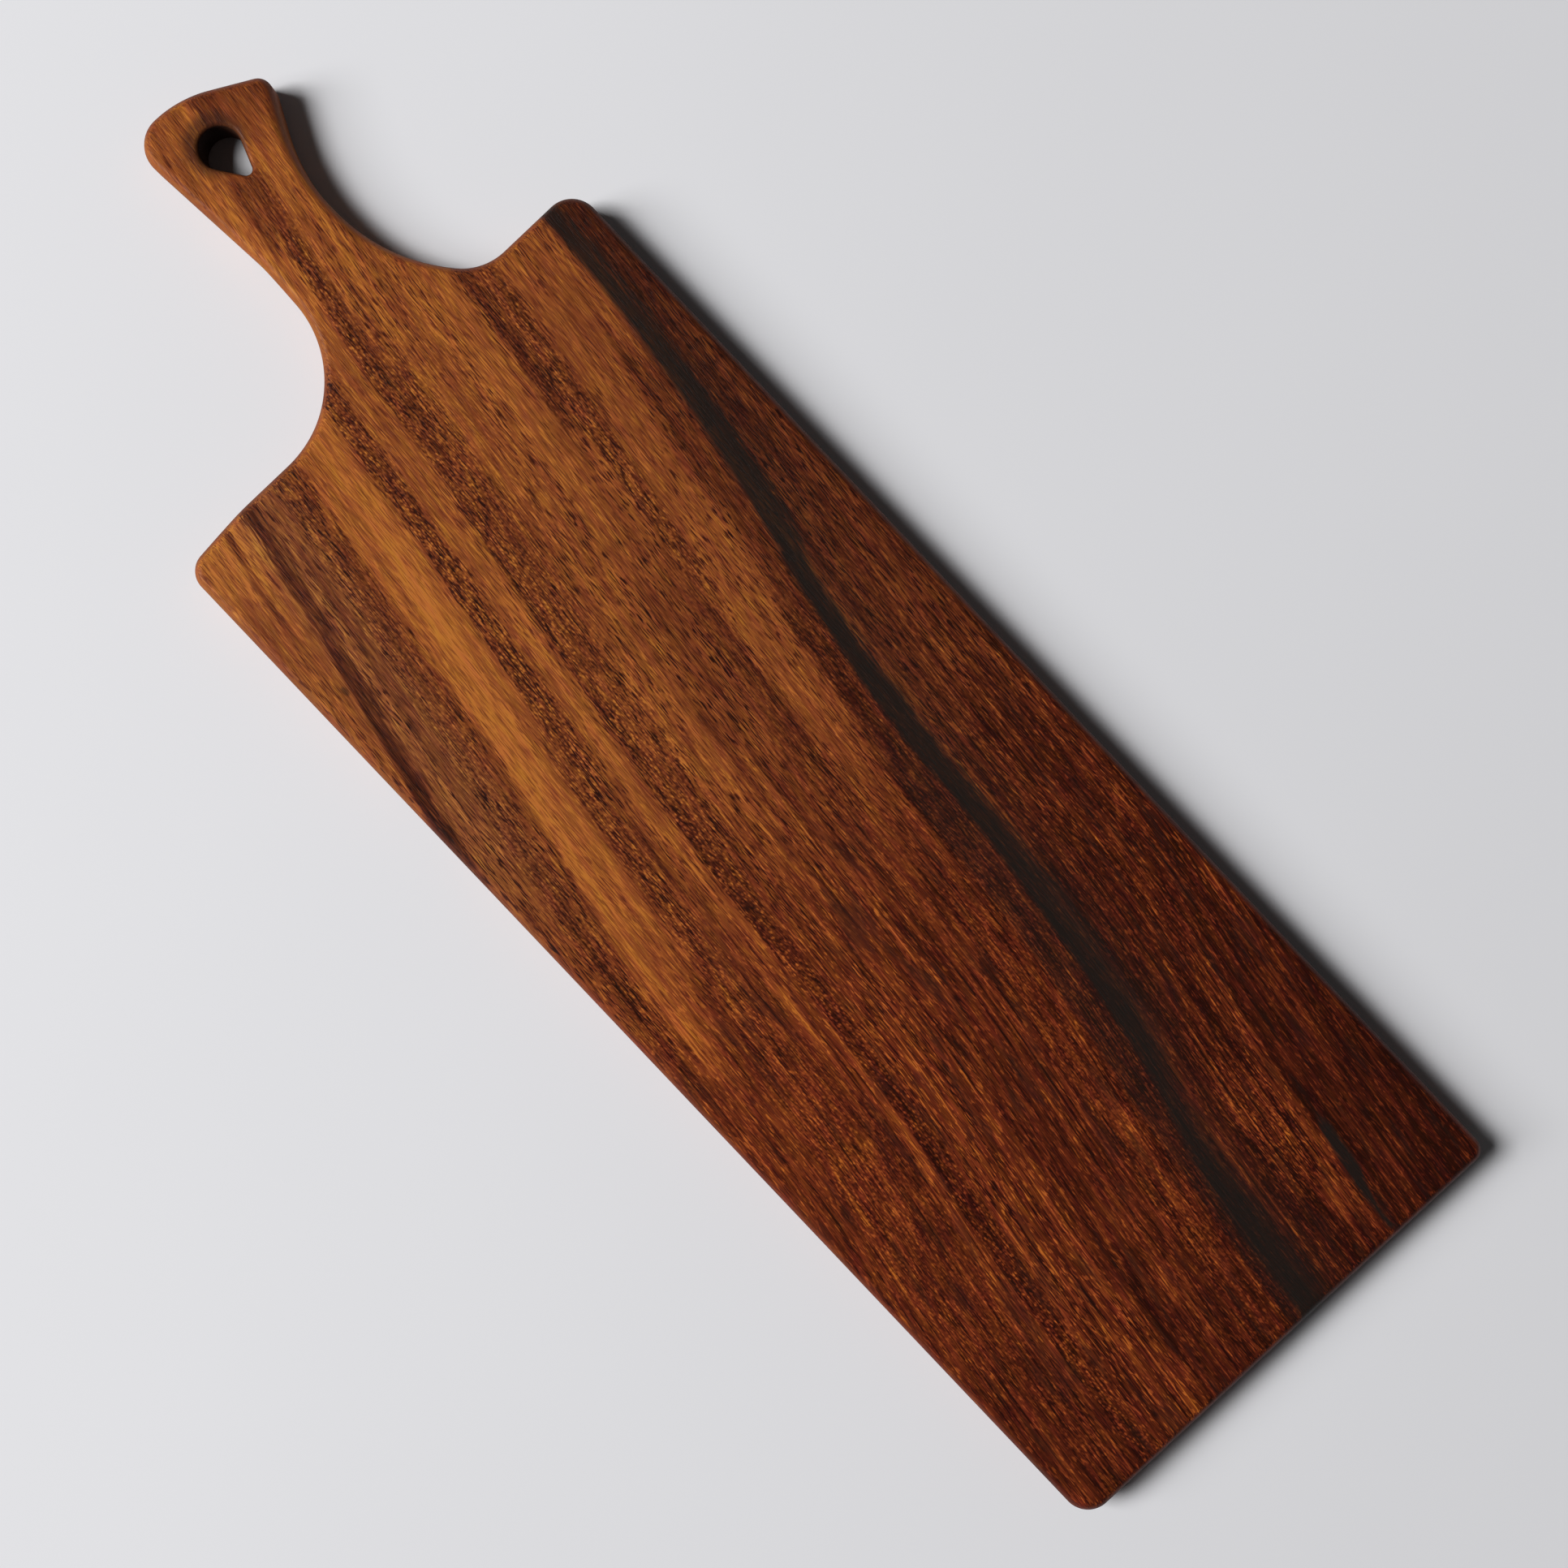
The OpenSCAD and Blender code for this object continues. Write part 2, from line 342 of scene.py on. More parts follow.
class PlankMesh:
    """Points, faces and texture places of the plank while it is put together."""

    def __init__(self):
        self.points = []
        self.faces = []
        self.places = []
        self.count = 0

    def add_points(self, points):
        """Adds points and returns the number of the first."""
        first = self.count
        self.points.append(points)
        self.count += len(points)
        return first

    def add_wall(self, rings, chart):
        """Adds the rings of a wall and the faces between them, and returns each ring's first number."""
        firsts = [self.add_points(ring) for ring in rings]
        count = len(rings[0])
        steps = np.linalg.norm(np.roll(rings[0], -1, axis=0) - rings[0], axis=1)
        along = np.concatenate(([0.0], np.cumsum(steps)))
        up = np.concatenate(([0.0], np.cumsum([
            np.linalg.norm(ring[0] - below[0]) for below, ring in zip(rings, rings[1:])])))
        for row, (here, above) in enumerate(zip(firsts, firsts[1:])):
            for k in range(count):
                after = (k + 1) % count
                self.faces.append((here + k, here + after, above + after, above + k))
                corners = ((k, row), (k + 1, row), (k + 1, row + 1), (k, row + 1))
                self.places.append([chart(along[k], along[i], up[j]) for i, j in corners])
        return firsts

    def add_face(self, outer_first, hole_first, ring_counts, interior, triangles, chart, upward):
        """Adds the points and triangles of a flat face between an outer ring and a hole's ring."""
        first = self.add_points(interior)
        outer_count, hole_count = ring_counts
        numbers = np.concatenate((
            np.arange(outer_first, outer_first + outer_count),
            np.arange(hole_first, hole_first + hole_count),
            np.arange(first, first + len(interior))))
        everything = np.vstack(self.points)
        for triangle in numbers[triangles]:
            corners = triangle if upward else triangle[::-1]
            self.faces.append(tuple(int(k) for k in corners))
            self.places.append([chart(*everything[k][:2]) for k in corners])


class Atlas:
    """Places of the plank's surfaces on its texture, at one scale: two faces, then the walls in strips."""

    MARGIN = 0.01
    # A wall is cut into strips of this share of the plank's length, and gets room for this many of them
    STRIP_SHARE = 0.96
    STRIPS = 4

    def __init__(self, low, high):
        self.low = low
        self.scale = (1 - 2 * self.MARGIN) / (high.x - low.x)
        self.length = high.x - low.x
        self.face_height = (high.y - low.y) * self.scale + self.MARGIN
        self.strip_base = self.MARGIN + 2 * self.face_height

    def face(self, row):
        """Chart of a flat face on the given row."""
        base = self.MARGIN + row * self.face_height
        return lambda x, y: (self.MARGIN + (x - self.low.x) * self.scale, base + (y - self.low.y) * self.scale)

    def wall(self, height):
        """Chart of a wall, cut into strips that are no longer than the plank."""
        base = self.strip_base
        strip_height = height * self.scale + self.MARGIN
        strip_length = self.length * self.STRIP_SHARE
        self.strip_base += strip_height * self.STRIPS

        def place(start, along, up):
            strip = int(start // strip_length)
            u = self.MARGIN + (along - strip * strip_length) * self.scale
            return (u, base + strip * strip_height + up * self.scale)

        return place


def plank_mesh(shape, low, high):
    """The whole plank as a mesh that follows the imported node's outline, with finer edges."""
    rng = np.random.default_rng(SEED)
    thickness = high.z - low.z
    profile = edge_profile(shape.edge_steps, shape.wall_steps)
    build = PlankMesh()
    atlas = Atlas(low, high)
    rims = []
    for (corners, radius), way_round in zip(wall_loops(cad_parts[NODE]), (1, -1)):
        if signed_area(corners) * way_round < 0:
            corners = corners[::-1]
        points, normals = smooth_outline(corners, shape.curve_step, shape.straight_step)
        share = np.arange(len(points)) / len(points)
        radii = radius * (1 + shape.edge_unevenness * waves(share, EDGE_WAVES, rng))
        rings = wall_rings(points, normals, radii, thickness, profile)
        firsts = build.add_wall(rings, atlas.wall(thickness + radius))
        rims.append((rings, firsts))
    (outer, outer_firsts), (hole, hole_firsts) = rims
    counts = (len(outer[0]), len(hole[0]))
    for row, upward in ((0, False), (-1, True)):
        interior, triangles = face_triangles(outer[row][:, :2], hole[row][:, :2], shape.face_step)
        level = np.column_stack((interior, np.full(len(interior), thickness if upward else 0.0)))
        chart = atlas.face(1 if upward else 0)
        build.add_face(outer_firsts[row], hole_firsts[row], counts, level, triangles, chart, upward)
    points = np.vstack(build.points)
    sand(points, shape.hollow, thickness, rng)
    points[:, 2] += low.z
    mesh = bpy.data.meshes.new(PIECE)
    mesh.from_pydata(points.tolist(), [], build.faces)
    places = mesh.uv_layers.new(name="OFBake")
    places.data.foreach_set("uv", [value for face in build.places for place in face for value in place])
    mesh.polygons.foreach_set("use_smooth", [True] * len(mesh.polygons))
    mesh.validate()
    return mesh


def sand(points, depth, thickness, rng):
    """Presses shallow hollows into both faces, deepest at the face and gone at half the thickness."""
    x, y = points[:, 0], points[:, 1]
    from_middle = points[:, 2] / thickness * 2 - 1
    for sign in (1, -1):
        field = np.zeros(len(points))
        for _ in range(HOLLOW_WAVES):
            turn, length = rng.uniform(0, 2 * math.pi), rng.uniform(*HOLLOW_LENGTHS)
            way = x * math.cos(turn) + y * math.sin(turn)
            field += np.sin(2 * math.pi * way / length + rng.uniform(0, HOLLOW_START))
        field = (field - field.min()) / (field.max() - field.min())
        points[:, 2] -= sign * depth * field * np.clip(sign * from_middle, 0, 1)


# Shader nodes

class Graph:
    """Short way to add shader nodes to one tree and to wire them."""

    # Numbers of a mix node's two inputs and of its output, which share their names with others
    MIX_SOCKETS = {"VECTOR": (4, 5, 1), "RGBA": (6, 7, 2)}
    # Roughness of the noise, and how far one seed moves it along, across and down
    NOISE_ROUGHNESS = 0.55
    SEED_STEPS = (1.0, 1.7, 2.3)

    def __init__(self, tree):
        self.tree = tree

    def feed(self, socket, value):
        """Wires a socket to another one, or sets its value."""
        if isinstance(value, bpy.types.NodeSocket):
            self.tree.links.new(value, socket)
        else:
            socket.default_value = value

    def add(self, kind, inputs=None, **settings):
        """Adds a node, with its settings and what its inputs take."""
        node = self.tree.nodes.new("ShaderNode" + kind)
        for name, value in settings.items():
            setattr(node, name, value)
        for key, value in (inputs or {}).items():
            self.feed(node.inputs[key], value)
        return node

    def math(self, operation, *values, clamp=False):
        """Result of a math node."""
        return self.add("Math", dict(enumerate(values)), operation=operation, use_clamp=clamp).outputs[0]

    def times(self, first, second, clamp=False):
        """Product of two numbers."""
        return self.math("MULTIPLY", first, second, clamp=clamp)

    def minus(self, first, second):
        """Difference of two numbers."""
        return self.math("SUBTRACT", first, second)

    def plus(self, base, share, amount, clamp=False):
        """Number with a share of an amount added to it."""
        return self.math("MULTIPLY_ADD", share, amount, base, clamp=clamp)

    def between(self, share, first, second, clamp=False):
        """Number that goes from the first to the second as the share goes from 0 to 1."""
        wired = any(isinstance(value, bpy.types.NodeSocket) for value in (first, second))
        span = self.minus(second, first) if wired else second - first
        return self.plus(first, share, span, clamp)

    def fade(self, value, start, end, low=0.0, high=1.0):
        """Smooth change from low to high as the value goes from start to end."""
        inputs = {"Value": value, "From Min": start, "From Max": end, "To Min": low, "To Max": high}
        return self.add("MapRange", inputs, interpolation_type="SMOOTHSTEP").outputs["Result"]

    def mix(self, kind, share, first, second):
        """Colour or vector between two others."""
        first_in, second_in, result = self.MIX_SOCKETS[kind]
        inputs = {"Factor": share, first_in: first, second_in: second}
        return self.add("Mix", inputs, data_type=kind).outputs[result]

    def curve(self, value, stations):
        """Height at a place on the smooth curve through stations given as (place, height)."""
        low, high = stations[0][0], stations[-1][0]
        heights = [height for _, height in stations]
        least, most = min(heights), max(heights)
        share = self.add("MapRange", {"Value": value, "From Min": low, "From Max": high}).outputs["Result"]
        node = self.add("FloatCurve", {"Value": share})
        knots = node.mapping.curves[0].points
        while len(knots) < len(stations):
            knots.new(0.5, 0.5)
        for knot, (place, height) in zip(knots, stations):
            knot.location = ((place - low) / (high - low), (height - least) / (most - least))
        node.mapping.update()
        inputs = {"Value": node.outputs[0], "To Min": least, "To Max": most}
        return self.add("MapRange", inputs).outputs["Result"]

    def grains(self, place, grain):
        """Noise about zero with a kind of grain's sizes along and across the fibres."""
        shift = tuple(grain.seed * step for step in self.SEED_STEPS)
        inputs = {0: place, 1: (1 / grain.length, 1 / grain.width, 1 / grain.width), 2: shift}
        scaled = self.add("VectorMath", inputs, operation="MULTIPLY_ADD").outputs[0]
        inputs = {"Vector": scaled, "Scale": 1.0, "Detail": grain.detail, "Roughness": self.NOISE_ROUGHNESS}
        return self.minus(self.add("TexNoise", inputs).outputs["Fac"], 0.5)

    def marks(self, place, grain, low=0.0):
        """Single marks where the noise of a kind of grain is strong, from low between them to 1."""
        return self.fade(self.grains(place, grain), grain.start, grain.full, low)

    def cells(self, place, along, across):
        """Long cells that lie along the fibres, as the distance from each one's core and its own strength."""
        inputs = {0: place, 1: (1 / along, 1 / across, 0.0)}
        scaled = self.add("VectorMath", inputs, operation="MULTIPLY").outputs[0]
        inputs = {"Vector": scaled, "Scale": 1.0, "Randomness": 1.0}
        cell = self.add("TexVoronoi", inputs, voronoi_dimensions="2D")
        return cell.outputs["Distance"], self.add("SeparateColor", {0: cell.outputs["Color"]}).outputs[0]


# Wood

# Sideways place of one fibre line along the board, which all the figure runs beside
FLOW = (
    (-310, 25.5), (-266, 17.6), (-191, 2.6), (-135, -5.7), (-66, -16.9), (-12, -25.2), (50, -32.8),
    (106, -38), (131, -40.5), (171, -46.5), (214, -54), (256, -60), (310, -67),
)
# Lightness of the plain wood along the board
PLAIN = ((-310, 0.72), (-170, 0.72), (-80, 0.68), (0, 0.60), (60, 0.53), (120, 0.46), (200, 0.38), (310, 0.31))
# Lower and upper edges of the great black streak, across the fibres from the flow line
BLACK_LOW = (
    (-310, 82), (-182, 82.8), (-170, 84), (-140, 86), (-95, 87.2), (-50, 86.2), (-20, 83.7), (10, 82.2),
    (40, 81), (85, 82.2), (130, 81.5), (190, 81.4), (220, 78.5), (265, 75.3), (310, 75.5),
)
BLACK_HIGH = (
    (-310, 88), (-182, 90), (-170, 91.5), (-155, 93), (-125, 94.5), (-65, 97), (-35, 95.5), (-5, 91.4),
    (25, 91.3), (100, 93), (145, 94.3), (175, 94.2), (205, 89.2), (235, 87.4), (265, 88.8), (310, 87.5),
)
# Middle line and half width of the short black streak at the far end
SHORT_MIDDLE = ((220, 125.5), (250, 123.4), (262, 122.7), (275, 122.2), (285, 120.9), (292, 120.6), (302, 123.3))
SHORT_HALF = ((220, 0), (251, 0.8), (258, 2.0), (272, 2.4), (284, 1.6), (292, 1.0), (302, 1.2))
# Black at the great streak's start, of the haze above it and of the dark wood below it
BLACK_START = 0.85
NEAR_HAZE = 0.25
FAR_HAZE = 0.35
DARK_BELOW = 0.42
# How strongly all the black shows, and how much the fibres change that
BLACK_LEVEL = 0.94
BLACK_FIBRE = 0.5

# Black ovals: middle, half sizes, strength, and the squared distances between which they fade out
Oval = namedtuple("Oval", "along sideways half_length half_width black inner outer")
PIN_KNOT = Oval(-104.6, -87.7, 2.4, 1.3, 0.6, 0.2, 1.2)
# Painted shade of the hang hole: black on its wall and round its rim
BORE_WALL_SHADE = Oval(-274.0, 16.6, 17.0, 13.0, 0.8, 0.8, 1.2)
BORE_RIM_SHADE = Oval(-282.5, 15.2, 10.0, 10.0, 0.6, 0.8, 2.0)

# A streak of the figure. Low and high are its edges across the fibres, start and end its reach along the
# board. Lightness is on the scale from umber, 0, to straw, 1. Lace is its share of lace-like dots, and calm
# the share of dashes and flecks that it lacks. Crisp and frayed are the softness of its low and of its high
# edge, fade that of its ends, and drift its slope against the fibres.
Streak = namedtuple(
    "Streak", "name low high start end lightness lace calm crisp frayed fade drift", defaults=(25, 0.0))

# Later ones lie over earlier ones. The shader can hold about sixty.
STREAKS = [Streak(*row) for row in (
    ("crown", 92, 160, -330, 330, 0.27, 0.2, 0.0, 3, 3),
    ("far crown", 92, 160, 90, 330, 0.22, 0.3, 0.4, 3, 3, 30),
    ("crown by the shoulder", 92, 160, -330, -70, 0.20, 0.2, 0.2, 3, 3),
    ("crown's edge lines", 98, 104, -130, 215, 0.34, 0.0, 0.0, 2, 3, 25, 0.131),
    ("crown's red line", 110, 114.5, -30, 165, 0.31, 0.0, 0.0, 1.5, 2),
    ("crown glow", 97, 120, 212, 268, 0.36, 0.6, 0.0, 3, 3, 18),
    ("crown rim", 125, 160, 185, 330, 0.22, 0.1, 0.6, 2, 2),
    ("crown's dark corner", 141, 165, 195, 330, 0.12, 0.1, 0.6, 1.2, 2, 20, -0.045),
    ("corner's orange lines", 116.5, 122.4, 190, 285, 0.42, 0.0, 0.2, 2, 0.8, 20, -0.026),
    ("corner's purple band", 122.4, 131, 195, 262, 0.09, 0.1, 0.7, 0.6, 3, 20, -0.026),
    ("orange lens", 106, 114.5, 270, 288, 0.54, 0.0, 0.6, 2, 2, 6),
    ("shoulder wood", 59, 85, -330, -40, 0.67, 0.0, 0.2, 2, 2),
    ("shoulder's dark corner", 83.5, 100, -330, -163, 0.20, 0.0, 0.4, 1.5, 2, 12),
    ("red under the black", 75, 88, -128, 40, 0.35, 0.1, 0.2, 2.5, 2, 25),
    ("purple under the black", 69.5, 86, -20, 330, 0.26, 0.5, 0.4, 0.8, 2, 20, -0.012),
    ("mid light", 58, 71.5, -110, 45, 0.66, 0.0, 0.3, 2.5, 1.5, 30),
    ("second dark band", 45, 52.5, -330, -115, 0.36, 0.5, 0.0, 0.8, 2.5, 18),
    ("second band's lace", 51.5, 58, -190, -35, 0.46, 0.8, 0.0, 1, 2),
    ("heart's dark band", 43, 54, -55, 70, 0.43, 0.3, 0.0, 2, 2),
    ("neck gold", 32, 44, -330, -115, 0.77, 0.0, 0.4, 2, 2, 40),
    ("handle's end", -14, 60, -330, -281, 0.42, 0.0, 0.4, 3, 3, 18),
    ("red heart", 29, 43, -70, 90, 0.47, 0.0, 0.0, 3, 3, 35),
    ("dashed wood", 9, 30, -200, 60, 0.70, 0.2, 0.0, 2.5, 3),
    ("dashed wood's seam", 13, 18.5, -115, -15, 0.59, 0.2, 0.0, 1.5, 2),
    ("gold seam", 19.5, 24.5, -45, 110, 0.70, 0.0, 0.3, 1, 1.5, 30),
    ("dark seam", 25.5, 31, -30, 65, 0.40, 0.1, 0.0, 1, 2, 25),
    ("dark seam's far end", 25.5, 30, 110, 165, 0.28, 0.1, 0.3, 1, 1.5, 20),
    ("third band's haze", 3, 11, -190, 40, 0.56, 0.7, 0.0, 2, 4),
    ("third dark band", -3.5, 3.5, -268, 60, 0.48, 0.9, 0.0, 0.5, 2.5),
    ("third band's far end", -5, 3, 5, 330, 0.33, 1.0, 0.6, 0.8, 2.5, 30),
    ("pale below the third", -13, -5, -330, 130, 0.76, 0.0, 0.3, 1.5, 0.6, 40),
    ("neck's pale side", -20, -9.5, -272, -222, 0.90, 0.0, 0.4, 2, 1.5, 20),
    ("handle's dark band", -9.5, 1, -272, -238, 0.44, 0.2, 0.2, 2, 2.5, 10),
    ("fourth dark band", -24, -15.5, -200, -20, 0.45, 1.0, 0.0, 0.5, 2.5, 12),
    ("gold", -44, -24, -330, 55, 0.83, 0.0, 0.6, 1.5, 0.8, 40),
    ("fourth band's far end", -28, -19, -40, 100, 0.51, 0.8, 0.0, 2, 4, 30, -0.02),
    ("gold's far end", -47.5, -33, -15, 85, 0.76, 0.0, 0.4, 2, 2, 30, -0.045),
    ("gold core", -37.5, -29.5, -120, 45, 0.93, 0.0, 0.7, 1.5, 2.5, 30, -0.075),
    ("fifth dark band", -57, -46, -330, -60, 0.53, 0.6, 0.0, 1.5, 2),
    ("fifth band's core", -47.5, -42.5, -190, -45, 0.42, 0.5, 0.0, 1, 1.5, 20, -0.055),
    ("fifth band's far end", -60, -49, -70, 85, 0.51, 0.6, 0.0, 1.5, 2, 30, -0.015),
    ("brown", -61.3, -55.5, -190, -40, 0.56, 0.1, 0.3, 0.8, 1.5, 25, -0.03),
    ("low light wood", -125, -74, -330, 0, 0.65, 0.0, 0.3, 2, 2),
    ("purple line", -71.4, -64.8, -190, -12, 0.21, 0.0, 0.6, 1.0, 2.5, 20, -0.05),
    ("light strip", -79, -71, -190, -120, 0.69, 0.0, 0.4, 1, 1.2, 20, -0.05),
    ("right shoulder's light", -110, -72, -330, -152, 0.85, 0.0, 0.4, 2, 1, 14),
    ("right shoulder's line", -80.6, -79.2, -190, -135, 0.52, 0.0, 0.4, 0.8, 1, 12, -0.06),
    ("far brown", 42, 68, 70, 330, 0.37, 0.2, 0.4, 3, 2, 40),
    ("far dots", 55, 66, 100, 330, 0.36, 0.6, 0.5, 2, 3, 30),
    ("far dark line", 37, 41, 40, 125, 0.30, 0.0, 0.2, 0.8, 2),
    ("far dark patches", 27, 40, 180, 330, 0.31, 0.1, 0.5, 1.5, 3, 30),
    ("far gold lines", 4, 26, 40, 330, 0.44, 0.0, 0.0, 2, 2, 40),
    ("far gold thread", 20.5, 24.5, 30, 240, 0.47, 0.0, 0.3, 0.8, 1.2),
    ("far gold seam", 3.5, 12, 150, 258, 0.50, 0.0, 0.0, 1.5, 2),
    ("gold under the third", -10, -5.5, 70, 262, 0.52, 0.1, 0.2, 0.8, 1.2),
    ("far red", -22, -11, 130, 330, 0.36, 0.5, 0.5, 2, 2, 30),
    ("far low lines", -36, -23, 195, 260, 0.41, 0.3, 0.2, 2, 3),
    ("far lace", -37, -18, 95, 215, 0.44, 0.7, 0.4, 2, 4, 35, -0.04),
)]
# Places of the colours on the scale of lightness
COLOUR_SCALE = {
    "umber": 0.0, "garnet": 0.15, "rust": 0.30, "chestnut": 0.45, "amber": 0.60, "honey": 0.75, "gold": 0.88,
    "straw": 1.0,
}
# Lace of the plain wood between the streaks, its calm at the far end, and the share of lightness left at the very end
PLAIN_LACE = 0.1
FAR_CALM = 0.45
FAR_SHADE = 0.80

# Kinds of grain: length and width, how much finer detail they carry, and their seed. Those that make single marks
# also have the noise from which a mark starts and at which it is full, and some of them the mean of their marks.
Grain = namedtuple("Grain", "length width detail seed start full mean", defaults=(None, None, None))
RIBBON = Grain(150, 6, 1, 1.3)
LINES = Grain(60, 1.1, 2, 5.2)
THREAD = Grain(45, 0.75, 1, 8.8, 0.10, 0.20)
PATCH = Grain(18, 2.4, 1, 9.9)
FIBRE = Grain(8, 0.42, 2, 2.6)
CLOUD = Grain(45, 7, 1, 6.6, -0.15, 0.12)
DASH = Grain(5, 0.45, 0, 4.4, 0.05, 0.17, 0.14)
FLECK = Grain(6, 0.38, 0, 7.1, 0.05, 0.16, 0.20)
COMMA = Grain(3, 0.55, 0, 12.3, 0.12, 0.20, 0.08)
CURL = Grain(2.2, 0.7, 1, 3.7)
STAIN = Grain(24, 4.5, 2, 4.9, 0.03, 0.17)
HUE = Grain(14, 3, 1, 2.2)
FRAY = Grain(11, 0.8, 1, 8.4)
WANDER = Grain(70, 14, 1, 3.1)
# How far the fraying moves a crisp edge, the great streak's haze and a frayed edge, and how far all edges wander
CRISP_FRAY = 1.5
HAZE_FRAY = 7.0
WIDE_FRAY = 9.0
WANDER_WIDTH = 3.0

# Contrast of a kind of grain: near the handle, at the far end, and there in busy wood if that differs
Contrast = namedtuple("Contrast", "near far busy", defaults=(None,))
LINE_CONTRAST = Contrast(0.40, 0.05, 0.90)
THREAD_CONTRAST = Contrast(0.05, 0.05, 0.45)
PATCH_CONTRAST = Contrast(0.30, 0.70)
FLECK_CONTRAST = Contrast(0.20, 0.08)
COMMA_CONTRAST = Contrast(0.0, 0.44)
CURL_CONTRAST = Contrast(1.35, 0.90)
# Change of lightness by a dash at the handle and on the body, and what it loses towards the far end
HANDLE_DASH = -0.50
BODY_DASH = -0.72
DASH_LOSS = 0.32
# Shares that are left of the grain in the handle, of the dashes between clouds and of the flecks in calm wood
HANDLE_GRAIN = 0.5
SPARE_DASHES = 0.25
CALM_FLECKS = 0.4
# Lace: length and width of a cell, the mean of its dots and the strength of the weakest
LACE_CELL = (1.9, 0.9)
MEAN_DOT = 0.20
LEAST_DOT = 0.05

# Purple stains: the middle of the band with most of them, and how much they calm, darken and blacken the wood
STAIN_BAND = 32.0
STAIN_CALM = 0.40
STAIN_SHADE = 0.06
STAIN_BLACK = 0.38

# How much the small shifts of hue, the far end's redness and the right side's grey change the wood's green and blue
Tint = namedtuple("Tint", "hue ruddy grey")
GREEN = Tint(0.5, -0.24, 0.17)
BLUE = Tint(-0.5, -0.29, 0.42)

# Tone of the end grain, that of the other edges as a level and a share of their wood's, and the strength of both. The
# lighter rounded edges are partly a painted highlight.
END_TONE = 0.42
SIDE_TONE_AND_HIGHLIGHT = 0.23
SIDE_SHARE = 0.7
EDGE_TONE_AND_HIGHLIGHT = 0.7
# Oil finish: what steep walls, fibres and pores add to the roughness, the fibres' relief, and the oil's gloss
STEEP_ROUGHNESS = 0.25
FIBRE_ROUGHNESS = 0.2
PORE_ROUGHNESS = 0.10
FIBRE_RELIEF = 0.5
OIL = {"Specular IOR Level": 0.2, "IOR": 1.47}


def streak_group():
    """Node group that lays one streak over the tone so far."""
    tree = bpy.data.node_groups.new("Streak", "ShaderNodeTree")
    tree.interface.new_socket("Tone", in_out="INPUT", socket_type="NodeSocketVector")
    for name in ("Along", "Across", "Frayed", "Low from", "Low to", "High from", "High to", "Middle", "Reach from",
                 "Reach to"):
        tree.interface.new_socket(name, in_out="INPUT", socket_type="NodeSocketFloat")
    tree.interface.new_socket("Streak tone", in_out="INPUT", socket_type="NodeSocketVector")
    tree.interface.new_socket("Tone", in_out="OUTPUT", socket_type="NodeSocketVector")
    graph = Graph(tree)
    given = tree.nodes.new("NodeGroupInput").outputs
    result = tree.nodes.new("NodeGroupOutput").inputs
    above = graph.fade(given["Across"], given["Low from"], given["Low to"])
    below = graph.fade(given["Frayed"], given["High from"], given["High to"], 1.0, 0.0)
    off_middle = graph.math("ABSOLUTE", graph.minus(given["Along"], given["Middle"]))
    within = graph.fade(off_middle, given["Reach from"], given["Reach to"], 1.0, 0.0)
    share = graph.times(graph.times(above, below), within)
    graph.feed(result["Tone"], graph.mix("VECTOR", share, given["Tone"], given["Streak tone"]))
    return tree


def add_streak(graph, group, streak, tone, along, across, frayed):
    """Tone with one more streak laid over it."""
    if streak.drift:
        slide = graph.times(graph.minus(along, streak.start), -streak.drift)
        across, frayed = graph.math("ADD", across, slide), graph.math("ADD", frayed, slide)
    half = (streak.end - streak.start) / 2
    inputs = {
        "Tone": tone, "Along": along, "Across": across, "Frayed": frayed,
        "Low from": streak.low - streak.crisp, "Low to": streak.low + streak.crisp,
        "High from": streak.high - streak.frayed, "High to": streak.high + streak.frayed,
        "Middle": streak.start + half, "Reach from": half - streak.fade, "Reach to": half + streak.fade,
        "Streak tone": (streak.lightness, streak.lace, streak.calm),
    }
    return graph.add("Group", inputs, node_tree=group, label=streak.name).outputs["Tone"]


def colour_scale(graph, value, colours):
    """Colour on the wood's scale, from umber to straw."""
    node = graph.add("ValToRGB", {"Fac": value})
    elements = node.color_ramp.elements
    while len(elements) < len(COLOUR_SCALE):
        elements.new(0.5)
    for element, (name, position) in zip(elements, COLOUR_SCALE.items()):
        element.position = position
        element.color = getattr(colours, name)
    return node.outputs["Color"]


def sheared(graph, along, across, depth, slope):
    """Place in the wood for grain that slopes against the streaks."""
    inputs = {"X": along, "Y": graph.plus(across, along, -slope), "Z": depth}
    return graph.add("CombineXYZ", inputs).outputs[0]


def streaked_tone(graph, place, along, across, fray):
    """Lightness, lace and calm of the plain wood with all the streaks laid over it."""
    wandering = graph.plus(across, graph.grains(place, WANDER), WANDER_WIDTH)
    crisp = graph.plus(wandering, fray, CRISP_FRAY)
    frayed = graph.plus(wandering, fray, WIDE_FRAY)
    plain = {"X": graph.curve(along, PLAIN), "Y": PLAIN_LACE, "Z": graph.fade(along, 0, 160, 0.0, FAR_CALM)}
    tone = graph.add("CombineXYZ", plain).outputs[0]
    group = streak_group()
    for streak in STREAKS:
        tone = add_streak(graph, group, streak, tone, along, crisp, frayed)
    lightness, lace, calm = graph.add("SeparateXYZ", {0: tone}).outputs
    far_shade = graph.fade(along, 235, 285, 1.0, FAR_SHADE)
    return graph.times(lightness, far_shade), lace, calm


def lace_marks(graph, figure, curled, far):
    """Change of lightness in full lace: dots in small cells, over short curls."""
    curl = graph.grains(curled, CURL)
    core, strength = graph.cells(curled, *LACE_CELL)
    # Every cell of the lace has its dot near the handle, and about half of them at the far end
    sparse = graph.fade(strength, 0.30, 0.85, LEAST_DOT)
    strength = graph.between(far, graph.between(strength, LEAST_DOT, 1.0), sparse)
    dots = graph.times(graph.fade(core, 0.18, 0.55, 1.0, 0.0), strength)
    dots = graph.times(graph.minus(dots, MEAN_DOT), figure.lace_contrast)
    return graph.plus(dots, curl, graph.between(far, CURL_CONTRAST.near, CURL_CONTRAST.far))


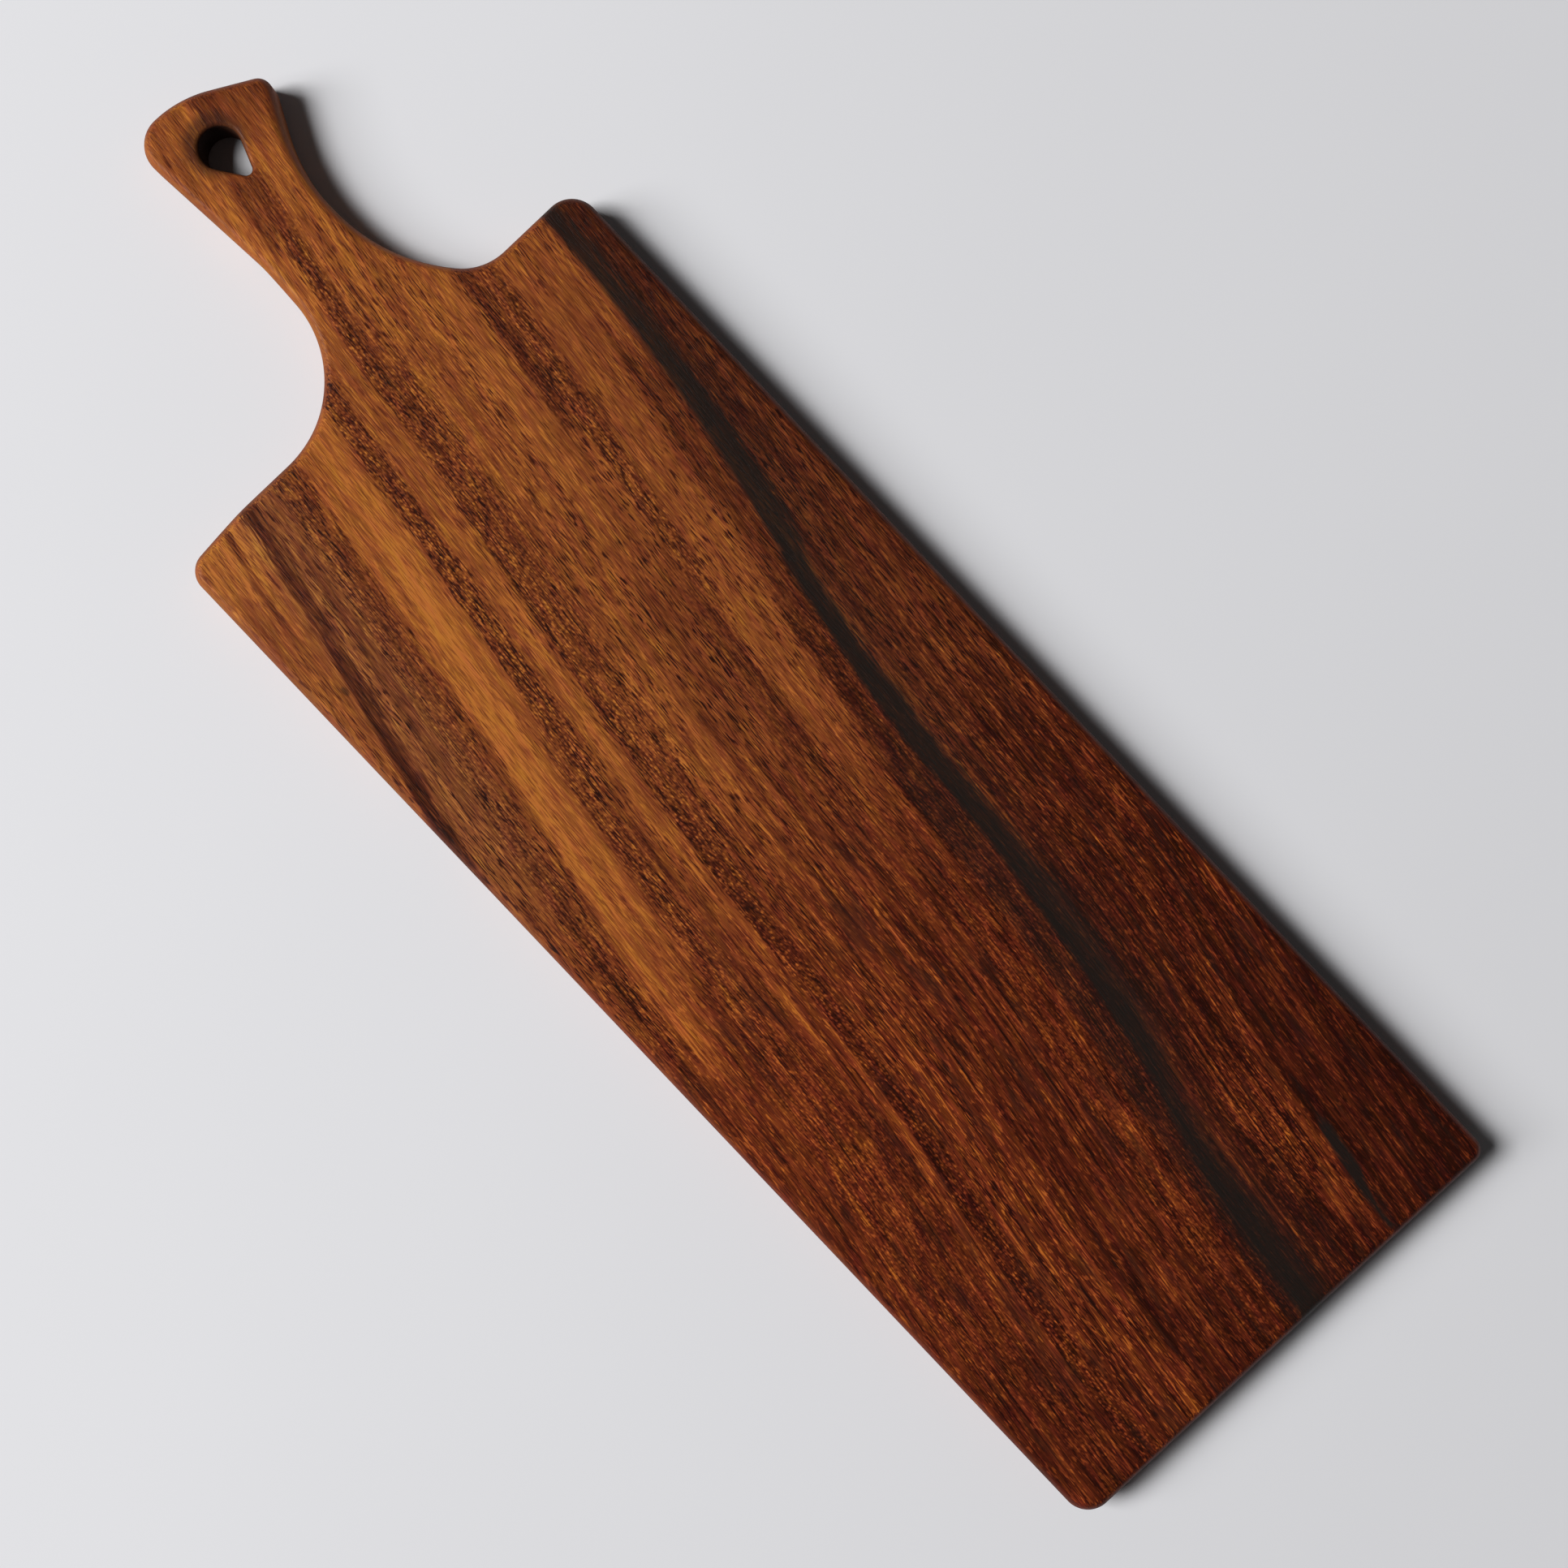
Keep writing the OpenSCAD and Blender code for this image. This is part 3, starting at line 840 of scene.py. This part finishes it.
def fine_grain(graph, figure, place, along, across, depth, lace, calm):
    """Change of lightness by the fibres, dashes, flecks and lace, with the fibres and the open pores themselves."""
    slanted = sheared(graph, along, across, depth, figure.slant)
    curled = sheared(graph, along, across, depth, figure.lace_slant)
    far = graph.fade(along, -60, 140)
    busy = graph.times(graph.minus(1.0, calm), graph.fade(along, -265, -225, HANDLE_GRAIN))

    def contrast(kind):
        far_end = kind.far if kind.busy is None else graph.between(busy, kind.far, kind.busy)
        return graph.between(far, kind.near, far_end)

    fibre = graph.grains(slanted, FIBRE)
    thread = graph.grains(place, THREAD)
    pale = graph.fade(thread, THREAD.start, THREAD.full)
    threads = graph.minus(pale, graph.fade(thread, -THREAD.full, -THREAD.start, 1.0, 0.0))
    dash = graph.marks(slanted, DASH)
    clouds = graph.marks(place, CLOUD, SPARE_DASHES)
    dashes = graph.times(graph.times(graph.minus(dash, DASH.mean), busy), clouds)
    flecks = graph.times(graph.minus(graph.marks(slanted, FLECK), FLECK.mean), contrast(FLECK_CONTRAST))
    commas = graph.minus(graph.marks(slanted, COMMA), COMMA.mean)
    change = graph.times(lace_marks(graph, figure, curled, far), lace)
    for grain, strength in (
            (fibre, contrast(Contrast(figure.fibre_contrast, figure.far_fibre_contrast))),
            (graph.grains(place, RIBBON), figure.ribbon_contrast),
            (graph.grains(place, LINES), contrast(LINE_CONTRAST)),
            (graph.grains(place, PATCH), contrast(PATCH_CONTRAST)),
            (threads, contrast(THREAD_CONTRAST)),
            (dashes, graph.plus(graph.fade(along, -120, -40, HANDLE_DASH, BODY_DASH), far, DASH_LOSS)),
            (graph.plus(flecks, commas, contrast(COMMA_CONTRAST)), graph.between(busy, CALM_FLECKS, 1.0))):
        change = graph.plus(change, grain, strength)
    return change, fibre, dash


def great_streak(graph, along, across, fray):
    """Share of black in the great streak, with the haze above it and the dark wood below it."""
    near = graph.plus(across, fray, CRISP_FRAY)
    spread = graph.plus(across, fray, HAZE_FRAY)
    from_low = graph.minus(near, graph.curve(along, BLACK_LOW))
    from_high = graph.minus(spread, graph.curve(along, BLACK_HIGH))
    under = graph.fade(from_low, graph.fade(along, 90, 260, -1.6, -5.0), 1.5)
    soft = graph.fade(along, 40, 220, 3.0, 8.0)
    over = graph.fade(from_high, graph.times(soft, -1.0), soft, 1.0, 0.0)
    haze = graph.fade(from_high, -2.0, 18.0, graph.fade(along, -60, 60, NEAR_HAZE, FAR_HAZE), 0.0)
    above = graph.times(under, graph.math("MAXIMUM", over, haze))
    below = graph.times(graph.fade(near, 68.5, 71.5), graph.fade(along, 15, 75, 0.0, DARK_BELOW))
    black = graph.math("MAXIMUM", above, graph.times(below, over))
    return graph.times(black, graph.fade(along, -190, -150, BLACK_START))


def short_streak(graph, along, across, fray):
    """Share of black in the short streak at the far end."""
    from_middle = graph.minus(graph.plus(across, fray, CRISP_FRAY), graph.curve(along, SHORT_MIDDLE))
    past_edge = graph.minus(graph.math("ABSOLUTE", from_middle), graph.curve(along, SHORT_HALF))
    ends = graph.times(graph.fade(along, 246, 259), graph.fade(along, 299, 304, 1.0, 0.0))
    return graph.times(graph.fade(past_edge, -0.8, 1.0, 1.0, 0.0), ends)


def black_oval(graph, along, sideways, oval):
    """Share of black in an oval spot."""
    x_off = graph.math("DIVIDE", graph.minus(along, oval.along), oval.half_length)
    y_off = graph.math("DIVIDE", graph.minus(sideways, oval.sideways), oval.half_width)
    squared = graph.math("ADD", graph.times(x_off, x_off), graph.times(y_off, y_off))
    return graph.fade(squared, oval.inner, oval.outer, oval.black, 0.0)


def black_share(graph, along, sideways, across, fray):
    """Share of black in the two black streaks and the pin knot."""
    great, short = great_streak(graph, along, across, fray), short_streak(graph, along, across, fray)
    return graph.math("MAXIMUM", graph.math("MAXIMUM", great, short), black_oval(graph, along, sideways, PIN_KNOT))


def painted_bore_shade(graph, along, sideways, steep):
    """Share of black painted as shade on the wall of the hang hole and round its rim."""
    wall = graph.times(black_oval(graph, along, sideways, BORE_WALL_SHADE), steep)
    return graph.math("MAXIMUM", wall, black_oval(graph, along, sideways, BORE_RIM_SHADE))


def stains(graph, place, along, across):
    """Share of purple stain in the far wood, most of it in one band."""
    from_band = graph.math("ABSOLUTE", graph.minus(across, STAIN_BAND))
    banded = graph.times(graph.marks(place, STAIN), graph.fade(from_band, 7, 16, 1.0, 0.75))
    return graph.times(banded, graph.fade(along, 10, 100))


def edged_with_painted_highlight(graph, shade, lightness, facing):
    """Shade with the rounded edges, which are sanded smooth, whose end grain is all of one tone, and which are partly
    lightened as a painted highlight.
    """
    end_grain = graph.fade(graph.math("ABSOLUTE", facing["X"]), 0.45, 0.95)
    edge_tone_and_highlight = graph.fade(graph.math("ABSOLUTE", facing["Z"]), 0.72, 0.97, EDGE_TONE_AND_HIGHLIGHT, 0.0)
    side_tone_and_highlight = graph.math("MULTIPLY_ADD", lightness, SIDE_SHARE, SIDE_TONE_AND_HIGHLIGHT)
    return graph.between(edge_tone_and_highlight, shade, graph.between(end_grain, side_tone_and_highlight, END_TONE), clamp=True)


def tinted(graph, wood, place, along, across):
    """Wood colour with its small shifts of hue, redder at the far end and greyer along the right side."""
    hue = graph.grains(place, HUE)
    ruddy = graph.fade(along, -30, 150)
    grey = graph.times(graph.fade(across, -80, -70, 0.25), graph.fade(across, -60, -44, 1.0, 0.0))
    grey = graph.times(grey, graph.fade(along, -50, 40, 1.0, 0.0))
    levels = [1.0]
    for tint in (GREEN, BLUE):
        level = graph.plus(graph.plus(1.0, hue, tint.hue), ruddy, tint.ruddy)
        levels.append(graph.plus(level, grey, tint.grey))
    factors = graph.add("CombineXYZ", dict(enumerate(levels))).outputs[0]
    return graph.add("VectorMath", {0: wood, 1: factors}, operation="MULTIPLY").outputs[0]


def oiled_hardwood(colours, figure, top):
    """Material of the board: solid wood whose figure runs through the plank, under a satin oil finish."""
    material = bpy.data.materials.new("oiled_hardwood")
    material.use_nodes = True
    tree = material.node_tree
    tree.nodes.clear()
    graph = Graph(tree)

    spot = graph.add("TexCoord").outputs
    in_mm = graph.add("VectorMath", {0: spot["Object"], "Scale": 1 / MM}, operation="SCALE").outputs[0]
    along, sideways, height = graph.add("SeparateXYZ", {0: in_mm}).outputs
    depth = graph.minus(top / MM, height)
    across = graph.plus(graph.minus(sideways, graph.curve(along, FLOW)), depth, figure.lean)
    place = sheared(graph, along, across, depth, 0.0)
    fray = graph.grains(place, FRAY)

    lightness, lace, calm = streaked_tone(graph, place, along, across, fray)
    change, fibre, pores = fine_grain(graph, figure, place, along, across, depth, lace, calm)
    facing = graph.add("SeparateXYZ", {0: spot["Normal"]}).outputs
    stain = stains(graph, place, along, across)
    change = graph.times(change, graph.plus(1.0, stain, -STAIN_CALM))
    shade = graph.plus(graph.math("ADD", lightness, change), stain, -STAIN_SHADE)
    # The rounded edges' lighter tone is partly a painted highlight
    shade = edged_with_painted_highlight(graph, shade, lightness, facing)
    wood = tinted(graph, colour_scale(graph, shade, colours), place, along, across)

    steep = graph.fade(graph.math("ABSOLUTE", facing["Z"]), 0.30, 0.85, 1.0, 0.0)
    black = graph.math("MAXIMUM", black_share(graph, along, sideways, across, fray), graph.times(stain, STAIN_BLACK))
    black = graph.times(black, graph.plus(BLACK_LEVEL, fibre, BLACK_FIBRE), clamp=True)
    # Painted shade: black in the hang hole and round its rim
    black = graph.math("MAXIMUM", black, painted_bore_shade(graph, along, sideways, steep))
    colour = graph.mix("RGBA", black, wood, tuple(colours.char))

    roughness = graph.plus(graph.plus(figure.roughness, steep, STEEP_ROUGHNESS), fibre, FIBRE_ROUGHNESS)
    roughness = graph.plus(roughness, pores, PORE_ROUGHNESS, clamp=True)
    relief = graph.plus(graph.times(fibre, FIBRE_RELIEF), pores, -1.0)
    bump = graph.add("Bump", {"Strength": 1.0, "Distance": figure.pore_depth, "Height": relief})
    surface = graph.add("BsdfPrincipled", {
        "Base Color": colour, "Roughness": roughness, "Normal": bump.outputs["Normal"], **OIL})
    output = graph.add("OutputMaterial")
    graph.feed(output.inputs["Surface"], surface.outputs["BSDF"])
    return material


# Stage

# The floor's gap under the board, its paper, and the mottle whose darker patches have this share of its colour
FLOOR_GAP = 0.2 * MM
PAPER = {"Roughness": 0.9, "Specular IOR Level": 0.1}
MOTTLE = {"Scale": 3.0, "Detail": 3.0}
MOTTLE_DARK = 0.95
# Level of the sky at the horizon and overhead
SKY_LEVELS = (0.14, 0.03)
# Width of the camera's sensor in millimetres
SENSOR_WIDTH = 36.0


def floor_material(colour):
    """Pale matt paper with a faint mottle."""
    material = bpy.data.materials.new("pale_paper")
    material.use_nodes = True
    graph = Graph(material.node_tree)
    surface = material.node_tree.nodes["Principled BSDF"]
    spot = graph.add("TexCoord").outputs["Object"]
    mottle = graph.add("TexNoise", {"Vector": spot, **MOTTLE}).outputs["Fac"]
    darker = tuple(MOTTLE_DARK * level for level in colour[:3]) + (1.0,)
    inputs = {"Base Color": graph.mix("RGBA", mottle, darker, tuple(colour)), **PAPER}
    for name, value in inputs.items():
        graph.feed(surface.inputs[name], value)
    return material


def add_floor(stage):
    """Square floor under the board."""
    half = stage.floor_size / 2
    mesh = bpy.data.meshes.new("floor")
    corners = [(-half, -half, 0), (half, -half, 0), (half, half, 0), (-half, half, 0)]
    mesh.from_pydata(corners, [], [(0, 1, 2, 3)])
    mesh.materials.append(floor_material(stage.floor_colour))
    floor = bpy.data.objects.new("floor", mesh)
    floor.location.z = CAD_BOX[0].z - FLOOR_GAP
    bpy.context.collection.objects.link(floor)


def add_softbox(name, power, size, way, distance):
    """Square softbox that faces the board from one side."""
    lamp = bpy.data.lights.new(name, "AREA")
    lamp.energy = power
    lamp.size = size
    light = bpy.data.objects.new(name, lamp)
    way = Vector(way).normalized()
    light.location = way * distance
    light.rotation_euler = way.to_track_quat("Z", "Y").to_euler()
    bpy.context.collection.objects.link(light)
    return light


def add_lights(stage):
    """High softbox over the right side and the handle, and a weaker low one on the same side."""
    high = add_softbox("high_softbox", stage.high_power, stage.high_size, stage.high_way, stage.light_distance)
    # Polarised, so that it leaves no glare on the oiled wood
    high.visible_glossy = False
    add_softbox("low_softbox", stage.low_power, stage.low_size, stage.low_way, stage.light_distance)


def add_world():
    """Sky that is pale at the horizon and dim overhead."""
    world = bpy.data.worlds.new("studio")
    bpy.context.scene.world = world
    world.use_nodes = True
    graph = Graph(world.node_tree)
    background = world.node_tree.nodes["Background"]
    way = graph.add("TexCoord").outputs["Generated"]
    rise = graph.add("SeparateXYZ", {0: way}).outputs["Z"]
    level = graph.fade(rise, 0.10, 0.40, *SKY_LEVELS)
    graph.feed(background.inputs["Color"], graph.add("CombineXYZ", {0: level, 1: level, 2: level}).outputs[0])
    graph.feed(background.inputs["Strength"], 1.0)


def add_camera(stage):
    """Camera straight over the board, turned so that the handle points to the upper left."""
    data = bpy.data.cameras.new("camera")
    data.sensor_width = SENSOR_WIDTH
    data.lens = data.sensor_width * stage.camera_height / stage.picture_width
    camera = bpy.data.objects.new("camera", data)
    camera.location = (*stage.camera_centre, CAD_BOX[1].z + stage.camera_height)
    camera.rotation_euler = (0, 0, stage.camera_turn)
    bpy.context.collection.objects.link(camera)
    bpy.context.scene.camera = camera


# Operators and panel

class BOARD_OT_make_plank(bpy.types.Operator):
    """Make the wooden plank of the board"""

    bl_idname = "board.make_plank"
    bl_label = "Make Plank"

    def execute(self, context):
        scene = context.scene
        low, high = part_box(NODE)
        mesh = plank_mesh(scene.plank_shape, low, high)
        mesh.materials.append(oiled_hardwood(scene.wood_colours, scene.wood_figure, high.z))
        plank = bpy.data.objects.new(PIECE, mesh)
        context.collection.objects.link(plank)
        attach(plank, BODY)
        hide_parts(NODE)
        return {"FINISHED"}


class BOARD_OT_set_stage(bpy.types.Operator):
    """Lay the floor and set the light and the camera"""

    bl_idname = "board.set_stage"
    bl_label = "Set Stage"

    def execute(self, context):
        stage = context.scene.board_stage
        add_floor(stage)
        add_lights(stage)
        add_world()
        add_camera(stage)
        context.scene.view_settings.view_transform = "Standard"
        return {"FINISHED"}


class BOARD_PT_panel(bpy.types.Panel):
    """Settings of the board and of its stage"""

    bl_idname = "BOARD_PT_panel"
    bl_label = "Paddle Board"
    bl_space_type = "VIEW_3D"
    bl_region_type = "UI"
    bl_category = "Board"

    def draw(self, context):
        scene = context.scene
        for heading, group, operator in (
                ("Plank", scene.plank_shape, BOARD_OT_make_plank), ("Colours", scene.wood_colours, None),
                ("Figure", scene.wood_figure, None), ("Stage", scene.board_stage, BOARD_OT_set_stage)):
            box = self.layout.box()
            box.label(text=heading)
            for name in group.bl_rna.properties.keys():
                if name not in ("rna_type", "name"):
                    box.prop(group, name)
            if operator:
                box.operator(operator.bl_idname)


GROUPS = {
    "plank_shape": PlankShape,
    "wood_colours": WoodColours,
    "wood_figure": WoodFigure,
    "board_stage": StageSettings,
}
CLASSES = (*GROUPS.values(), BOARD_OT_make_plank, BOARD_OT_set_stage, BOARD_PT_panel)


def register():
    for cls in CLASSES:
        bpy.utils.register_class(cls)
    for name, group in GROUPS.items():
        setattr(bpy.types.Scene, name, PointerProperty(type=group))


def unregister():
    for name in GROUPS:
        delattr(bpy.types.Scene, name)
    for cls in reversed(CLASSES):
        bpy.utils.unregister_class(cls)


def main():
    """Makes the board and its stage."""
    register()
    bpy.ops.board.make_plank()
    bpy.ops.board.set_stage()


if __name__ == "__main__":
    main()
